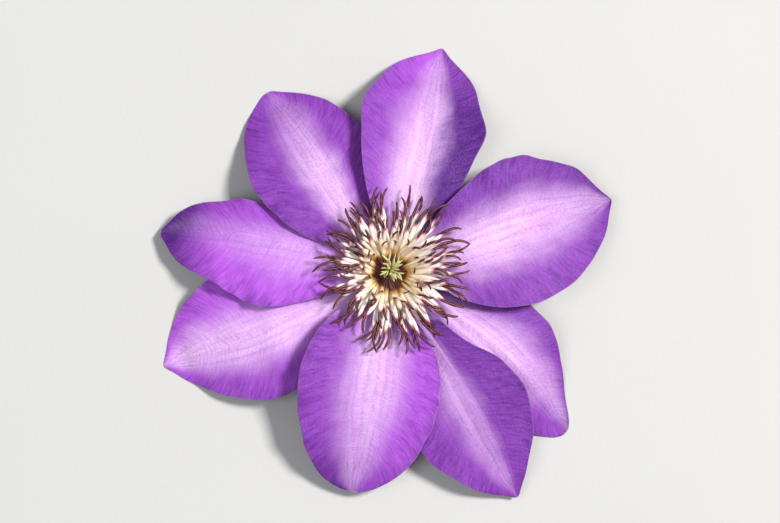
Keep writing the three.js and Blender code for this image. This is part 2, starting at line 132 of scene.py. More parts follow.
# One entry for each sepal, in the order of the solids' names.
# direction: of the tip, and claw: of the claw, in degrees from +X.
# bow: sideways bend of the midrib. rise: crest above the claw. tip: height of the tip.
# left, right: half widths from the fourth station on, looking from the claw to the tip.
# level, lift_left, lift_right: how far the blade and its margins lie above a common dish.
# wave: size, number and phase of the waves along the margins.
# curl: how far the left and the right margin turn up again beyond the neighbouring sepals.
# bar, bar_centre and pale: half width of the pale bar, its place across the blade and how pale it
# is, near the claw and near the tip.
# violet_with_painted_light: how light the violet is on the left and on the right, and what the tip
# adds to it. It is partly the sepal's own tone and partly painted light and shade: a half lighter or
# darker as if lit from one side, and darker where a margin folds or a tip bends under.
# crinkle: height of the fine waves on the left and right margin.
# pointed: how much the blade narrows before its tip.
SEPALS = [
    dict(direction=75.4, claw=66, length=82.5, bow=-1.5, rise=3.2, tip=-3.5,
         left=[12.5, 18, 21.7, 23, 18, 13.6, 5], right=[11, 15.5, 18.2, 20.7, 16.2, 13.2, 5],
         level=0.3, lift_left=3.2, lift_right=-1.2, wave=[0.5, 3, 0.4], curl=(0, 2.6),
         bar=(0.46, 0.29), bar_centre=(0.09, 0.02), pale=(1, 0.44),
         violet_with_painted_light=(0.56, 0, 0.4), crinkle=(0.6, 0.3), pointed=0.25),
    dict(direction=19.9, claw=12, length=84, bow=1.2, rise=3.2, tip=4.5,
         left=[12, 18, 22.6, 23.2, 17.6, 14, 6], right=[16, 23.6, 26, 24.4, 18.8, 14, 8],
         level=1, lift_left=1.4, lift_right=1.4, wave=[0.6, 3.5, 2.2], curl=(0, 0),
         bar=(0.46, 0.42), bar_centre=(-0.03, 0.04), pale=(1, 0.5),
         violet_with_painted_light=(0.28, 0.42, -0.18), crinkle=(0.7, 0.6), pointed=0.3),
    dict(direction=-39.1, claw=-26, length=81.6, bow=4.5, rise=3, tip=-2.5,
         left=[11, 19, 23.5, 22.8, 16, 10.5, 7], right=[7, 13, 16, 16, 12.5, 9, 8],
         level=-1.9, lift_left=-1.2, lift_right=-0.6, wave=[0.5, 3, 1.2], curl=(0, 0),
         bar=(0.36, 0.46), bar_centre=(0, 0.44), pale=(0.94, 0.42),
         violet_with_painted_light=(0.36, 0.58, -0.1), crinkle=(0.2, 0.3), pointed=0.0),
    dict(direction=-58.3, claw=-63, length=86.6, bow=0.8, rise=3, tip=2.5,
         left=[5.5, 9.8, 17.6, 19.4, 15.6, 9.8, 5], right=[11, 16, 20.5, 21.6, 16.2, 12, 5],
         level=-0.2, lift_left=1.8, lift_right=-1.6, wave=[0.5, 3.5, 0], curl=(0, 0),
         bar=(0.31, 0.27), bar_centre=(-0.15, -0.12), pale=(0.57, 0.34),
         violet_with_painted_light=(0.25, 0.4, 0.08), crinkle=(0.5, 0.2), pointed=0.25),
    dict(direction=-98.3, claw=-102, length=73.2, bow=0.7, rise=3.2, tip=4,
         left=[13.5, 20.4, 22.5, 22, 18.4, 15.6, 13], right=[16.5, 23, 25, 23.8, 19.8, 17.6, 16],
         level=1.3, lift_left=1.6, lift_right=2.6, wave=[0.5, 3, 3], curl=(0, 0),
         bar=(0.44, 0.37), bar_centre=(0.02, -0.1), pale=(0.9, 0.48),
         violet_with_painted_light=(0.86, 0.5, -0.34), crinkle=(0.6, 0.6), pointed=0.0),
    dict(direction=-156.4, claw=-144, length=79.4, bow=3, rise=3, tip=-2.5,
         left=[11, 18, 24, 23.7, 17.5, 11.3, 6], right=[10, 15, 19, 21, 17.3, 13, 7],
         level=-1.2, lift_left=-1.2, lift_right=-1, wave=[0.5, 3, 5], curl=(0, 0),
         bar=(0.38, 0.48), bar_centre=(0.05, -0.1), pale=(0.95, 0.92),
         violet_with_painted_light=(0.68, 1, 0.05), crinkle=(0.2, 0.4), pointed=0.3),
    dict(direction=170.9, claw=170, length=76, bow=-2.8, rise=3, tip=2.5,
         left=[11, 16.3, 19.5, 16.8, 12.2, 10.2, 7], right=[9.5, 12.3, 14, 15.2, 13, 11.2, 8.4],
         level=0, lift_left=1.2, lift_right=-1.2, wave=[0.7, 4, 2], curl=(0, 0),
         bar=(0.45, 0.36), bar_centre=(0.1, -0.35), pale=(0.54, 0.1),
         violet_with_painted_light=(1, 0.74, -1.05), crinkle=(0.8, 0.2), pointed=0.3),
    dict(direction=122.6, claw=120, length=73.3, bow=1.2, rise=3, tip=-2.5,
         left=[13, 20.2, 23.2, 23.3, 18.7, 15.2, 12], right=[10, 14.5, 17.5, 19, 15.8, 11.8, 7],
         level=0, lift_left=1.2, lift_right=-1.3, wave=[0.5, 3, 1], curl=(0, 0),
         bar=(0.3, 0.38), bar_centre=(0.04, -0.14), pale=(0.98, 0.26),
         violet_with_painted_light=(0.4, 0.46, 0), crinkle=(0.5, 0.2), pointed=0.2),
]

# Receptacle and stalk. The seat lies above the claws and the ledge below them.
BOSS_RADIUS = 3.1
RECEPTACLE_RADIUS = 5.0
LEDGE_HEIGHT = CLAW_HEIGHT - SOLID_THICKNESS / 2 - GAP
SEAT_HEIGHT = CLAW_HEIGHT + SOLID_THICKNESS / 2 + GAP
STALK_RADIUS = 1.3
STALK_DIRECTION = math.radians(-128)
# Distance from the axis and height of points along the stalk's centre line.
STALK_LINE = [(0, 7.4), (0.2, 5.7), (1.7, 3.1), (4.8, 1.7), (9, 1.3), (17, 1.3), (27, 1.3)]
STALK_RINGS = 60
STALK_SIDES = 32
STALK_RIBS = 8
RIB_SHARE = 0.04
TURNED_SIDES = 48

# Middle of the dark well that the stamens leave open.
WELL = AXIS + np.array([0.2, -0.9])

# Stamens, innermost first. A rank runs from 0 for the innermost to 1 for the outermost, and each
# pair holds for those two. A lower crowding puts more of them among the outer ones. They reach
# furthest on the side that the boss leans to, and the boss is an oval that is longer along Y.
STAMEN_COUNT = 86
CROWDING = 0.48
LEAN_DIRECTION = math.radians(-10)
LEAN = 0.067
OVAL = 0.063
ROOT_DISTANCE = (2.6, 3.8)
ROOT_HEIGHT = (3.3, 1.8)
NECK_DISTANCE = (7.2, 19.0)
NECK_HEIGHT = (9.2, 7.3)
ANTHER_LENGTH = (3.0, 8.2)
ANTHER_ARCH = (0, 0.2)
# Share of an anther's length that points outwards, from inner ones bent inwards to flat ones, the
# rank from which they are flat, and how much of the rest of the length points upwards.
ANTHER_OUTWARD = (-0.3, 1)
FLAT_RANK = 0.5
UPWARD_SHARE = 0.9
# Stations along a filament and along its anther.
FILAMENT_STATIONS = (0, 0.35, 0.7, 0.96)
ANTHER_STATIONS = (0.08, 0.4, 0.75, 1)
# How much the stamens differ, as a whole range round the middle value.
TURN_SPREAD = 0.12
REACH_SPREAD = 0.16
HEIGHT_SPREAD = 1.2
BEND_SPREAD = 0.3
LENGTH_SPREAD = 0.3
HOOK_SPREAD = 0.9
# Slender stamens that fill the boss between those: how many, and the ranks of the first and last.
SLENDER_INNER = (36, 0.5, 0.0)
SLENDER_OUTER = (48, 0.85, 1.0)
# Their girth, reach and anther length as multiples of what the others have, and how much more of
# the anther points outwards.
SLENDER_GIRTH = 0.8
SLENDER_REACH = 1.12
SLENDER_ANTHER = (1.2, 0.75)
SLENDER_SPLAY = 0.35
# Sections. A filament's widths are given at places along it. An anther's thickness is a share of
# its width, and its groove reaches this share of the way from the middle to the edge.
FILAMENT_RINGS = 20
FILAMENT_SIDES = 12
FILAMENT_PLACES = [0, 0.3, 0.6, 0.85, 0.94, 1]
FILAMENT_WIDTHS = [0.9, 1.3, 1.75, 1.7, 1.2, 0.5]
FILAMENT_THICKNESS = 0.45
FILAMENT_CHANNEL = 0.12
ANTHER_RINGS = 22
ANTHER_SIDES = 14
ANTHER_WIDTH = 1.0
ANTHER_TAPER = 0.2
ANTHER_FLATNESS = 0.72
ANTHER_GROOVE = 0.45
GROOVE_WIDTH = 0.4
COLLAR_INNER_RADIUS = 1.9
COLLAR_RADIUS = 4.4
COLLAR_HEIGHT = 3.2

# Styles, on a dome inside the collar. Ranks and pairs are as for the stamens.
STYLE_COUNT = 20
SLENDER_STYLES = 14
SLENDER_STYLE_GIRTH = 0.75
DOME_RADIUS = 1.6
DOME_HEIGHT = 2.6
# Shares of the dome's radius and height along its outline.
DOME_OUTLINE = [(1, 0), (1, 0.4), (0.93, 0.62), (0.75, 0.8), (0.4, 0.95)]
DOME_SIDES = 32
STYLE_HEIGHT = 7.2
STYLE_STATIONS = (0, 0.45, 0.8, 1)
STYLE_ROOT_DISTANCE = (0, 0.9)
STYLE_ROOT_DEPTH = (0.9, 1.7)
STYLE_CURL = (1.0, 4.2)
STYLE_CURL_SPREAD = 0.6
STYLE_TURN_SPREAD = 1.8
STYLE_HEIGHT_SPREAD = 0.25
# How far the tip of an outer style nods, as a share of its length.
STYLE_NOD = 0.1
STYLE_RINGS = 22
STYLE_SIDES = 10
STYLE_PLACES = [0, 0.5, 0.85, 1]
STYLE_WIDTHS = [0.66, 0.56, 0.64, 0.3]

# Streams of the repeatable draws, one for each thing that differs. The first nine are those that
# the solids use.
TURN_DRAW, REACH_DRAW, HEIGHT_DRAW, BEND_DRAW, LENGTH_DRAW, HOOK_DRAW = range(1, 7)
STYLE_HEIGHT_DRAW, STYLE_TURN_DRAW, STYLE_CURL_DRAW = range(7, 10)
STAMEN_TINT_DRAW = 11
STYLE_TINT_DRAW = 12

# Camera: how far it leans from upright and towards which side, how far it stands from its aim,
# and how far its aim lies to the right of the flower's heart and above it in the image.
CAMERA_LEAN = math.radians(14)
CAMERA_SIDE = math.radians(220)
CAMERA_DISTANCE = 719.4
AIM_RIGHT = 0.664
AIM_UP = 3.486
LENS = 100
SENSOR_WIDTH = 36
# Nearest distance that it sees, in metres.
CLIP_START = 0.01

# Floor: half its side and how far it lies under the flower, in metres.
FLOOR_REACH = 1.5
FLOOR_DROP = 0.0002


# ---------------- numbers

def draw(index, stream):
    """Repeatable draw between 0 and 1 for item `index`, from a sine hash."""
    value = math.sin(index * 12.9898 + stream * 78.233) * 43758.5453
    return value - math.floor(value)


def vary(spread, index, stream):
    """Repeatable draw round 0, over a whole range of `spread`."""
    return spread * (draw(index, stream) - 0.5)


def blend(pair, share):
    """Value at `share` of the way from the first of the pair to the second."""
    return pair[0] + (pair[1] - pair[0]) * share


def smoothstep(low, high, x):
    t = np.clip((x - low) / (high - low), 0, 1)
    return t * t * (3 - 2 * t)


def interpolate(xs, ys, x):
    """Smooth curve through the points (xs, ys), read at every x."""
    xs = np.asarray(xs, float)
    ys = np.asarray(ys, float)
    last = len(xs) - 1
    ends = np.arange(last + 1)
    before = np.maximum(ends - 1, 0)
    after = np.minimum(ends + 1, last)
    slopes = (ys[after] - ys[before]) / (xs[after] - xs[before])
    i = np.clip(np.searchsorted(xs, x, side="left") - 1, 0, last - 1)
    span = xs[i + 1] - xs[i]
    t = (x - xs[i]) / span
    rise = ys[i + 1] - ys[i]
    start = slopes[i] * span
    end = slopes[i + 1] * span
    return ys[i] + t * (start + t * (3 * rise - 2 * start - end + t * (start + end - 2 * rise)))


def ripples(x, y, seed, wavelength, count=7):
    """Sum of a few plane waves in drawn directions, scaled to lie mostly between -1 and 1."""
    rng = np.random.default_rng(seed)
    total = np.zeros_like(x)
    for _ in range(count):
        angle = rng.uniform(0, math.pi)
        length = wavelength * rng.uniform(0.7, 1.5)
        phase = rng.uniform(0, 2 * math.pi)
        along = x * math.cos(angle) + y * math.sin(angle)
        total += np.sin(2 * math.pi * along / length + phase)
    return total / math.sqrt(count) / RIPPLE_PEAK


def circle(sides):
    """Angles of evenly spread points on a circle."""
    return np.arange(sides) * 2 * math.pi / sides


# ---------------- meshes

def mesh_piece(name, points, faces, attributes, material, replaced):
    """Piece from points in millimetres, kept inside the box of the solids.

    attributes: name -> one vector for each point.
    """
    inside = np.clip(points, LOWEST, HIGHEST)
    mesh = bpy.data.meshes.new(name)
    mesh.from_pydata((inside * MM).tolist(), [], faces)
    for key, values in attributes.items():
        layer = mesh.attributes.new(key, "FLOAT_VECTOR", "POINT")
        layer.data.foreach_set("vector", np.asarray(values, np.float32).ravel())
    mesh.polygons.foreach_set("use_smooth", [True] * len(mesh.polygons))
    mesh.materials.append(material)
    mesh.validate()
    piece = bpy.data.objects.new(name, mesh)
    bpy.context.scene.collection.objects.link(piece)
    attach(piece, "root")
    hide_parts(replaced)


class Build:
    """Points, faces and attributes gathered from many small forms."""

    def __init__(self, *names):
        self.points = []
        self.faces = []
        self.attributes = {name: [] for name in names}

    def add(self, points, faces, **attributes):
        start = len(self.points)
        self.points.extend(points)
        self.faces.extend([tuple(start + i for i in face) for face in faces])
        for name, values in attributes.items():
            self.attributes[name].extend(values)

    def make_piece(self, name, material, replaced):
        mesh_piece(name, self.points, self.faces, self.attributes, material, replaced)


def grid_faces(rows, columns, start=0, closed=False, turned=False):
    """Quads of a grid of points. closed: the last column joins the first."""
    faces = []
    for row in range(rows - 1):
        for column in range(columns if closed else columns - 1):
            following = (column + 1) % columns
            a = start + row * columns + column
            b = start + (row + 1) * columns + column
            c = start + (row + 1) * columns + following
            d = start + row * columns + following
            faces.append((a, d, c, b) if turned else (a, b, c, d))
    return faces


def sweep(line, sideways, rings):
    """Closed rod. rings: for each point of the line, offsets across and upwards."""
    line = np.asarray(line, float)
    rings = np.asarray(rings, float)
    count, sides = rings.shape[:2]
    tangents = np.gradient(line, axis=0)
    tangents /= np.linalg.norm(tangents, axis=1, keepdims=True)
    across = sideways - (tangents @ sideways)[:, None] * tangents
    across /= np.linalg.norm(across, axis=1, keepdims=True)
    up = np.cross(across, tangents)
    points = (line[:, None, :] + rings[..., :1] * across[:, None, :]
              + rings[..., 1:] * up[:, None, :]).reshape(-1, 3)
    faces = grid_faces(count, sides, closed=True)
    first = count * sides
    last = first + 1
    points = np.vstack([points, line[0], line[-1]])
    for side in range(sides):
        following = (side + 1) % sides
        faces.append((side, following, first))
        faces.append(((count - 1) * sides + following, (count - 1) * sides + side, last))
    return points, faces


def smooth_line(points, steps):
    """The same line with `steps` stations, evenly spread along it, and their places in 0..1."""
    points = np.asarray(points, float)
    lengths = np.concatenate([[0], np.cumsum(np.linalg.norm(np.diff(points, axis=0), axis=1))])
    at = np.linspace(0, lengths[-1], steps)
    line = np.stack([interpolate(lengths, points[:, k], at) for k in range(3)], axis=1)
    return line, at / lengths[-1]


def around(distance, height, angle):
    """Point at a distance from the flower's axis."""
    return np.array([AXIS[0] + distance * math.cos(angle),
                     AXIS[1] + distance * math.sin(angle), height])


def sideways_at(angle):
    return np.array([-math.sin(angle), math.cos(angle), 0.0])


def lathe(profile, sides):
    """Points and faces of a closed turned form. profile: radius and height, from axis to axis."""
    rings = [around(radius, height, angle) for radius, height in profile for angle in circle(sides)]
    return np.array(rings), grid_faces(len(profile), sides, closed=True)


def ring(width, thickness, sides, groove=0.0, channel=0.0):
    """Oval section, with a groove along the middle of both faces or hollowed like a channel."""
    angles = circle(sides)
    across = width / 2 * np.cos(angles)
    dent = 1 - groove * np.exp(-(np.cos(angles) / GROOVE_WIDTH) ** 2)
    up = thickness / 2 * np.sin(angles) * dent + channel * (2 * across / width) ** 2
    return np.stack([across, up], axis=1)


# ---------------- materials

class Graph:
    """Short names for the nodes of one material."""

    def __init__(self, name):
        self.material = bpy.data.materials.new(name)
        self.material.use_nodes = True
        self.tree = self.material.node_tree
        self.tree.nodes.clear()
        self.shader = self.tree.nodes.new("ShaderNodeBsdfPrincipled")
        output = self.tree.nodes.new("ShaderNodeOutputMaterial")
        self.tree.links.new(self.shader.outputs["BSDF"], output.inputs["Surface"])

    def put(self, socket, value):
        if isinstance(value, bpy.types.NodeSocket):
            self.tree.links.new(value, socket)
        elif isinstance(value, tuple) and len(value) == 3 and len(socket.default_value) == 4:
            socket.default_value = (*value, 1)
        else:
            socket.default_value = value

    def set(self, **values):
        for name, value in values.items():
            self.put(self.shader.inputs[name.replace("_", " ")], value)

    def parts(self, name):
        """The three numbers of a point attribute."""
        attribute = self.tree.nodes.new("ShaderNodeAttribute")
        attribute.attribute_name = name
        split = self.tree.nodes.new("ShaderNodeSeparateXYZ")
        self.tree.links.new(attribute.outputs["Vector"], split.inputs[0])
        return split.outputs[0], split.outputs[1], split.outputs[2]

    def join(self, x, y, z):
        node = self.tree.nodes.new("ShaderNodeCombineXYZ")
        for socket, value in zip(node.inputs, (x, y, z)):
            self.put(socket, value)
        return node.outputs[0]

    def math(self, operation, a, b=0.0):
        node = self.tree.nodes.new("ShaderNodeMath")
        node.operation = operation
        self.put(node.inputs[0], a)
        self.put(node.inputs[1], b)
        return node.outputs[0]

    def add(self, a, b):
        return self.math("ADD", a, b)

    def minus(self, a, b):
        return self.math("SUBTRACT", a, b)

    def times(self, a, b):
        return self.math("MULTIPLY", a, b)

    def largest(self, a, b):
        return self.math("MAXIMUM", a, b)

    def absolute(self, a):
        return self.math("ABSOLUTE", a)

    def weighted(self, *terms):
        """Sum of fields, each with its weight."""
        total = self.times(*terms[0])
        for field, weight in terms[1:]:
            total = self.add(total, self.times(field, weight))
        return total

    def step(self, low, high, x, to_low=0.0, to_high=1.0):
        """Smooth step of x from low to high. The bounds may be sockets."""
        node = self.tree.nodes.new("ShaderNodeMapRange")
        node.interpolation_type = "SMOOTHSTEP"
        for socket, value in zip(node.inputs, (x, low, high, to_low, to_high)):
            self.put(socket, value)
        return node.outputs[0]

    def mix(self, amount, a, b):
        node = self.tree.nodes.new("ShaderNodeMix")
        node.data_type = "RGBA"
        node.clamp_factor = True
        self.put(node.inputs[0], amount)
        self.put(node.inputs[6], a)
        self.put(node.inputs[7], b)
        return node.outputs[2]

    def noise(self, vector, scale, detail=2.0, roughness=0.5):
        node = self.tree.nodes.new("ShaderNodeTexNoise")
        self.put(node.inputs["Vector"], vector)
        self.put(node.inputs["Scale"], scale)
        self.put(node.inputs["Detail"], detail)
        self.put(node.inputs["Roughness"], roughness)
        return node.outputs["Fac"]

    def object_noise(self, scale, detail=2.0):
        """Noise over the object's own space. scale: patches to the metre."""
        node = self.tree.nodes.new("ShaderNodeTexCoord")
        return self.noise(node.outputs["Object"], scale, detail)

    def patches(self, x, y, rates, level=0.0, detail=3.0, roughness=0.5):
        """Noise over two fields. rates: how fast it changes with each of them."""
        place = self.join(self.times(x, rates[0]), self.times(y, rates[1]), level)
        return self.noise(place, 1.0, detail, roughness)

    def bump(self, height, distance):
        """Bump from a height field. distance: metres for a height of 1."""
        node = self.tree.nodes.new("ShaderNodeBump")
        self.put(node.inputs["Distance"], distance)
        self.put(node.inputs["Height"], height)
        self.set(Normal=node.outputs[0])


# Colours of the sepals. Each pair of violets holds for violet_with_painted_light 0 and 1, which
# carries painted light and shade as well as the sepal's own tone, and the pale bar varies between its
# two lilacs.
DEEP_VIOLET = ((0.060, 0.008, 0.165), (0.38, 0.075, 0.64))
LIGHT_VIOLET = ((0.13, 0.023, 0.29), (0.57, 0.135, 0.85))
STROKE_VIOLET = ((0.030, 0.003, 0.095), (0.23, 0.036, 0.46))
BAR_LILACS = ((0.76, 0.40, 0.84), (0.84, 0.55, 0.92))
BAR_HIGHLIGHT = (0.87, 0.67, 0.92)
CLAW_LILAC = (0.88, 0.65, 0.89)
# Pale colour of a painted highlight along the margins, also given to the very tip.
RIM_HIGHLIGHT_COLOUR = (0.66, 0.44, 0.58)
UNDER_COLOUR = (0.36, 0.17, 0.50)
UNDER_BAR = (0.50, 0.42, 0.42)
UNDER_VEIN = (0.30, 0.16, 0.24)
SHEEN_COLOUR = (0.85, 0.6, 1.0)
# Lengthwise veins in the pale bar: their places across the blade, half width and waver.
VEIN_PLACES = (-0.24, -0.11, 0.0, 0.12, 0.25)
VEIN_WIDTH = 0.026
VEIN_WAVER = 0.12
# How fast the noise changes with the number of the side vein, and with the millimetres across or,
# for the lengthwise one, with the place across.
CLOUD_RATES = (0.09, 0.09)
BEND_RATES = (0.16, 0.16)
COARSE_RATES = (0.5, 0.11)
FINE_RATES = (1.5, 0.2)
GRAIN_RATES = (1.9, 1.9)
LENGTHWISE_RATES = (0.05, 11.0)
STROKE_WAVER = 2.6
# Sides of the pale bar: the multiples of its half width between which it fades, and how far fine
# and broad patches feather that edge.
BAR_FADES = (1.65, 0.1)
FINE_FEATHER = 0.22
BROAD_FEATHER = 0.4
# How strongly each marking covers what lies below it. Strokes grow stronger towards the margins.
HIGHLIGHT_STRENGTH = 0.5
CLAW_STRENGTH = 0.7
GRAIN_STRENGTH = 0.27
STROKE_STRENGTHS = (0.06, 0.3)
SPECK_STRENGTH = 0.06
RIM_HIGHLIGHT_STRENGTH = 0.2
POINT_STRENGTH = 0.7
UNDER_VEIN_STRENGTH = 1.6
# Depth of the sepals' fine relief, in metres.
SEPAL_RELIEF = 0.00038


def sepal_fields(g):
    """Places and noise fields of the sepals. blade_markings says what the attributes hold.

    The number of a side vein changes from vein to vein and stays the same along each, so noise
    that changes fast with it draws strokes that lie along the side veins.
    """
    q, v, side = g.parts("blade")
    vein, across, from_middle = g.parts("vein")
    bar_width, bar_strength, violet_with_painted_light = g.parts("tone")
    bend = g.minus(g.patches(vein, across, BEND_RATES, level=3.1, detail=2.0), 0.5)
    bent = g.add(vein, g.times(bend, STROKE_WAVER))
    return SimpleNamespace(
        q=q, v=v, side=side, from_middle=from_middle, away=g.absolute(v), claw=g.step(0.27, 0.06, q),
        bar_width=bar_width, bar_strength=bar_strength, violet_with_painted_light=violet_with_painted_light, bend=bend,
        cloud=g.patches(vein, across, CLOUD_RATES),
        coarse=g.patches(bent, across, COARSE_RATES),
        fine=g.patches(bent, across, FINE_RATES, roughness=0.6),
        grain=g.patches(vein, across, GRAIN_RATES, roughness=0.65),
        lengthwise=g.patches(vein, v, LENGTHWISE_RATES, detail=2.0))


def stripes(g, v, places, width):
    """Thin soft lines that run along the blade at the given places across it."""
    lines = [g.step(width, 0.0, g.absolute(g.minus(v, place))) for place in places]
    total = lines[0]
    for line in lines[1:]:
        total = g.largest(total, line)
    return total


def bar_and_veins(g, f):
    """How strongly the pale bar and its lengthwise veins show.

    The bar has soft, feathered sides and widens to the whole claw.
    """
    feather = g.times(g.minus(g.add(f.coarse, f.fine), 1.0), FINE_FEATHER)
    feather = g.add(feather, g.times(g.minus(f.cloud, 0.5), BROAD_FEATHER))
    from_bar = g.add(g.absolute(f.from_middle), feather)
    outer, inner = [g.times(f.bar_width, multiple) for multiple in BAR_FADES]
    bar = g.largest(g.times(g.step(outer, inner, from_bar), f.bar_strength), f.claw)
    veins = stripes(g, g.add(f.v, g.times(f.bend, VEIN_WAVER)), VEIN_PLACES, VEIN_WIDTH)
    shown = g.times(g.step(0.75, 0.96, f.q, 0.22, 0.4), g.step(0.3, 0.6, f.coarse))
    return bar, g.times(veins, shown)


def upper_colour(g, f, bar, veins):
    """Mottled violet and the pale bar with its veins, under grain, strokes and a painted rim
    highlight.
    """
    # The violet's lightness holds painted light and shade as well as the sepal's own tone.
    deep = g.mix(f.violet_with_painted_light, *DEEP_VIOLET)
    light = g.mix(f.violet_with_painted_light, *LIGHT_VIOLET)
    mottle = g.weighted((f.coarse, 0.25), (f.fine, 0.6), (f.grain, 0.15))
    body = g.mix(g.step(0.33, 0.67, mottle), deep, light)
    pale = g.mix(g.step(0.3, 0.7, f.lengthwise), *BAR_LILACS)
    pale = g.mix(g.times(g.step(0.42, 0.62, mottle), HIGHLIGHT_STRENGTH), pale, BAR_HIGHLIGHT)
    pale = g.mix(g.times(f.claw, CLAW_STRENGTH), pale, CLAW_LILAC)
    colour = g.mix(veins, g.mix(bar, body, pale), light)

    colour = g.mix(g.times(g.step(0.48, 0.64, f.grain), GRAIN_STRENGTH), colour, deep)
    strokes = g.step(0.51, 0.38, g.weighted((f.coarse, 0.6), (f.fine, 0.4)))
    strokes = g.times(strokes, g.step(0.3, 0.8, f.away, *STROKE_STRENGTHS))
    colour = g.mix(strokes, colour, g.mix(f.violet_with_painted_light, *STROKE_VIOLET))
    colour = g.mix(g.times(g.step(0.52, 0.34, f.grain), SPECK_STRENGTH), colour, pale)
    # Painted highlight: a thin pale line along the margins, as on lit edges, and the same pale colour
    # at the very tip.
    rim_highlight = g.times(g.step(0.975, 1.0, f.away), RIM_HIGHLIGHT_STRENGTH)
    point = g.times(g.step(0.994, 0.999, f.q), POINT_STRENGTH)
    return g.mix(g.largest(rim_highlight, point), colour, RIM_HIGHLIGHT_COLOUR)


def sepal_material():
    """Violet with a pale bar above, and duller with a greenish bar below."""
    g = Graph("sepal")
    f = sepal_fields(g)
    bar, veins = bar_and_veins(g, f)
    upper = upper_colour(g, f, bar, veins)
    under = g.mix(bar, UNDER_COLOUR, UNDER_BAR)
    under = g.mix(g.times(veins, UNDER_VEIN_STRENGTH), under, UNDER_VEIN)
    colour = g.mix(g.step(-0.2, 0.2, f.side), under, upper)
    relief = g.weighted((f.fine, 0.6), (f.coarse, 0.7), (f.grain, 0.25), (veins, -0.8),
                        (f.lengthwise, 0.4))
    g.bump(relief, SEPAL_RELIEF)
    g.set(Base_Color=colour, Roughness=g.step(0.3, 0.7, f.grain, 0.45, 0.62),
          Specular_IOR_Level=0.16, Sheen_Weight=0.03, Sheen_Roughness=0.4,
          Sheen_Tint=SHEEN_COLOUR)
    return g.material


# Colours of a filament from the well outwards, then of its shoulder, streaks and edges. The maroon
# in the well is partly own colour and partly painted shade, and the edge colour is painted shade
# between neighbouring filaments.
WELL_MAROON_AND_SHADE = (0.07, 0.011, 0.007)
WELL_GOLD = (0.66, 0.34, 0.07)
INNER_CREAM = (0.97, 0.80, 0.54)
OUTER_WHITE = (0.98, 0.89, 0.84)
SHOULDER_PINK = (0.56, 0.12, 0.18)
STREAK_COLOUR = (0.66, 0.38, 0.30)
EDGE_SHADE_COLOUR = (0.56, 0.25, 0.25)
# Millimetres from the well, or places along the filament, between which one passes into the next.
MAROON_TO_GOLD = (5.4, 6.6)
GOLD_TO_CREAM = (6.4, 7.8)
CREAM_TO_WHITE = (8.0, 15.0)
WHITE_TO_PINK = (0.87, 0.97)
# How far these distances vary between filaments and along them.
WELL_WAVER = 1.6
# Colours of an anther: a pair for its dark ground, its lobes, and a pair for the groove.
ANTHER_DARK = ((0.026, 0.003, 0.010), (0.075, 0.009, 0.026))
ANTHER_LOBE = (0.17, 0.024, 0.045)
GROOVE_TAN = ((0.22, 0.05, 0.06), (0.58, 0.29, 0.20))


def filament_material():
    """Maroon in the well, partly own colour and partly painted shade, then golden, cream and white,
    with a pink shoulder and painted shade along the edges.
    """
    g = Graph("filament")
    t, from_well, tint = g.parts("grow")
    across, _, _ = g.parts("strap")
    streak = g.noise(g.join(t, g.times(tint, 40.0), g.times(across, 2.0)), 1.6, 3.0)
    cloud = g.object_noise(420.0)
    from_well = g.add(from_well, g.times(g.minus(g.add(tint, cloud), 1.0), WELL_WAVER))
    # The near-black maroon at the bottom of the well is partly the filaments' own colour and partly
    # painted shade.
    colour = g.mix(g.step(*MAROON_TO_GOLD, from_well), WELL_MAROON_AND_SHADE, WELL_GOLD)
    colour = g.mix(g.step(*GOLD_TO_CREAM, from_well), colour, INNER_CREAM)
    colour = g.mix(g.step(*CREAM_TO_WHITE, from_well), colour, OUTER_WHITE)
    colour = g.mix(g.times(g.step(*WHITE_TO_PINK, t), 0.95), colour, SHOULDER_PINK)
    colour = g.mix(g.times(g.step(0.45, 0.7, streak), 0.22), colour, STREAK_COLOUR)
    # Painted shade along the strap's edges, darker between neighbouring filaments.
    edge_shade = g.times(g.step(0.6, 1.0, g.absolute(across)), 0.5)
    colour = g.mix(edge_shade, colour, EDGE_SHADE_COLOUR)
    g.bump(streak, 0.0001)
    g.set(Base_Color=colour, Roughness=g.step(0.3, 0.7, streak, 0.4, 0.6),
          Specular_IOR_Level=0.4, Subsurface_Weight=0.35, Subsurface_Radius=(1.0, 0.8, 0.6),
          Subsurface_Scale=0.001)
    return g.material


def anther_material():
    """Dark maroon lobes on both sides of a tan groove."""
    g = Graph("anther")
    _, across, tint = g.parts("grow")
    grain = g.object_noise(2600.0, 3.0)
    cloud = g.object_noise(500.0)
    lobe = g.mix(g.step(0.45, 0.8, grain), g.mix(tint, *ANTHER_DARK), ANTHER_LOBE)
    tan = g.mix(g.step(0.35, 0.65, cloud), *GROOVE_TAN)
    groove = g.step(0.18, 0.05, g.absolute(across))
    g.bump(grain, 0.00012)
    g.set(Base_Color=g.mix(groove, lobe, tan), Roughness=g.step(0.3, 0.7, grain, 0.5, 0.75),
          Specular_IOR_Level=0.3)
    return g.material


def collar_material():
    g = Graph("collar")
    cloud = g.object_noise(700.0, 3.0)
    g.bump(cloud, 0.0003)
    # Dark maroon, partly the colour at the heart of the flower and partly painted shade in the well.
    g.set(Base_Color=g.mix(cloud, (0.05, 0.008, 0.006), (0.18, 0.05, 0.03)),
          Roughness=g.step(0.3, 0.7, cloud, 0.5, 0.7))
    return g.material


